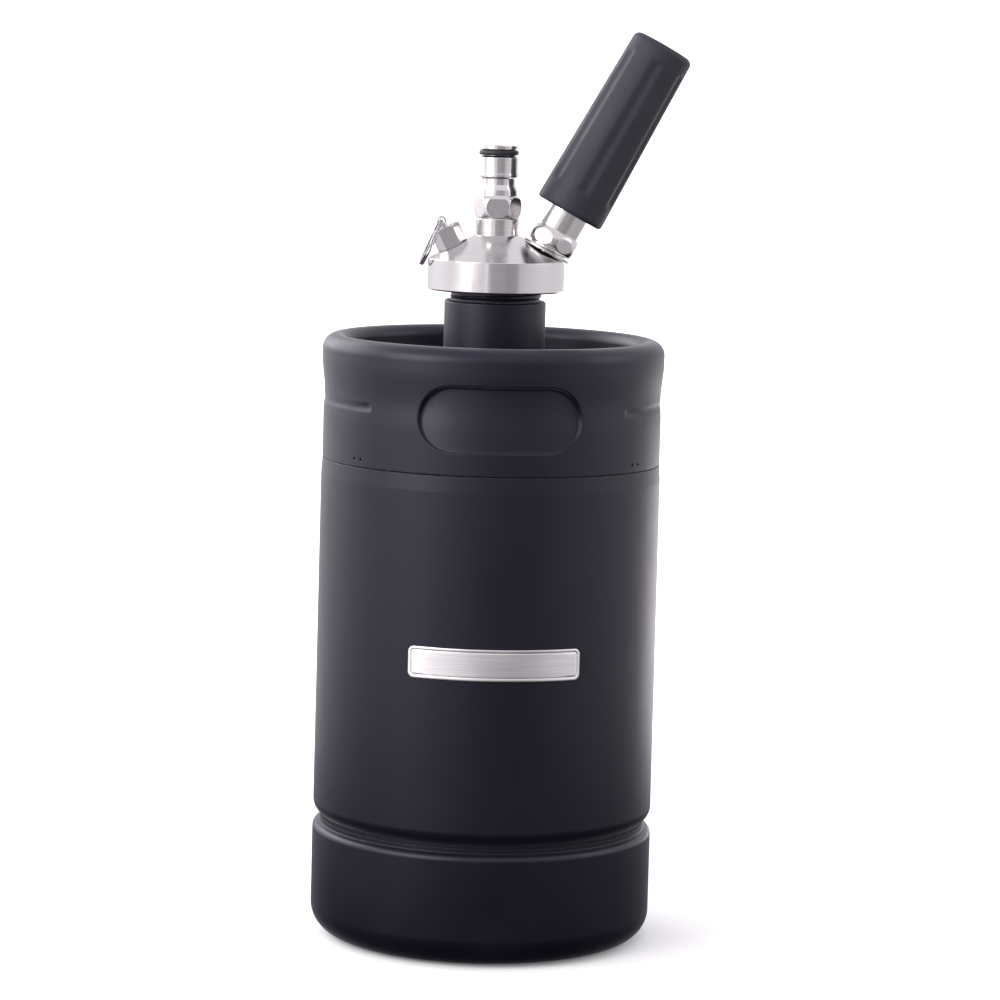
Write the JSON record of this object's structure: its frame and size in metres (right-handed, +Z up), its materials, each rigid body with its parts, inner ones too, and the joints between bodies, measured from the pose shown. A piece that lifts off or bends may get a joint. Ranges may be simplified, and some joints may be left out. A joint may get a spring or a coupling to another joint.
{
  "type": "beer keg",
  "caption": "Insulated mini beer keg with a screw-in ball-lock spear, a relief valve and a gas bulb holder.",
  "frame": {"origin": "middle of the keg's flat underside, on the keg's axis", "axes": "+Z up along the keg's axis, -Y towards the front with the badge, +X towards the leaning bulb holder"},
  "size_m": [0.1619, 0.1552, 0.4109],
  "materials": {
    "powder_coat": "matte black powder coat on stainless steel, fine grain",
    "tank_steel": "satin stainless steel",
    "badge_steel": "satin metal plate, plain",
    "getter_metal": "dull grey metal",
    "seal_rubber": "black silicone rubber",
    "turned_steel": "turned stainless steel, fine tool marks",
    "spring_steel": "stainless spring wire",
    "bulb_steel": "plated steel gas bulb",
    "grip_rubber": "matte dark grey rubber grip"
  },
  "bodies": {
    "keg": {"foot_ring": "powder_coat", "base_plate": "powder_coat", "barrel_shell": "powder_coat", "top_collar": "powder_coat", "shoulder_dome": "powder_coat", "threaded_neck": "powder_coat", "inner_tank": "tank_steel", "badge_plate": "badge_steel", "evacuation_seal": "getter_metal", "getter_capsule": "getter_metal"},
    "gasket": {"neck_gasket": "seal_rubber"},
    "spear": {"spear_hub": "turned_steel", "ball_lock_post": "turned_steel", "post_o_ring": "seal_rubber", "poppet_spring": "spring_steel", "dip_tube": "tank_steel", "dip_tube_o_ring": "seal_rubber", "prv_gasket": "seal_rubber", "prv_body": "turned_steel", "adapter_seal_ring": "turned_steel", "gas_adapter": "turned_steel", "check_spring": "spring_steel", "piercing_pin": "spring_steel"},
    "poppet": {"poppet": "turned_steel", "poppet_seal": "seal_rubber"},
    "relief_stem": {"prv_stem": "turned_steel", "prv_seat_seal": "seal_rubber", "prv_spring": "spring_steel"},
    "pull_ring": {"pull_ring": "spring_steel"},
    "check_ball": {"check_ball": "spring_steel"},
    "bulb_seal": {"bulb_seal": "seal_rubber"},
    "co2_bulb": {"co2_bulb": "bulb_steel"},
    "bulb_holder": {"holder_sleeve": "tank_steel", "holder_grip": "grip_rubber"}
  },
  "joints": [
    {"name": "spear_lift", "type": "slide", "parent": "keg", "child": "gasket", "axis": [0, 0, 1], "range_m": [0, 0.3]},
    {"name": "cap_turn", "type": "hinge", "parent": "gasket", "child": "spear", "pos_m": [0, 0, 0.3], "axis": [0, 0, 1], "range_deg": [0, 900]},
    {"name": "poppet_press", "type": "slide", "parent": "spear", "child": "poppet", "axis": [0, 0, -1], "range_m": [0, 0.004], "stiffness_N_per_m": 1200, "springref_m": -0.003, "deforming": ["poppet_spring"]},
    {"name": "relief_pull", "type": "slide", "parent": "spear", "child": "relief_stem", "axis": [-0.4305, 0, 0.9026], "range_m": [0, 0.003], "stiffness_N_per_m": 2500, "springref_m": -0.003},
    {"name": "ring_swing", "type": "hinge", "parent": "relief_stem", "child": "pull_ring", "pos_m": [-0.02506, 0, 0.3244], "axis": [0, 1, 0], "range_deg": [0, 200]},
    {"name": "check_lift", "type": "slide", "parent": "spear", "child": "check_ball", "axis": [-0.4756, 0, -0.8796], "range_m": [0, 0.001], "stiffness_N_per_m": 300, "springref_m": -0.002},
    {"name": "bulb_withdraw", "type": "slide", "parent": "spear", "child": "bulb_seal", "axis": [0.4756, 0, 0.8796], "range_m": [0, 0.05]},
    {"name": "bulb_advance", "type": "slide", "parent": "bulb_seal", "child": "co2_bulb", "axis": [0.4756, 0, 0.8796], "range_m": [0, 0.00525]},
    {"name": "holder_turn", "type": "hinge", "parent": "co2_bulb", "child": "bulb_holder", "pos_m": [0.03211, 0, 0.32944], "axis": [0.4756, 0, 0.8796], "range_deg": [0, 1260]}
  ],
  "couplings": [
    {"joint": "bulb_advance", "follows": "holder_turn", "m_per_rad": 0.00023873}
  ]
}
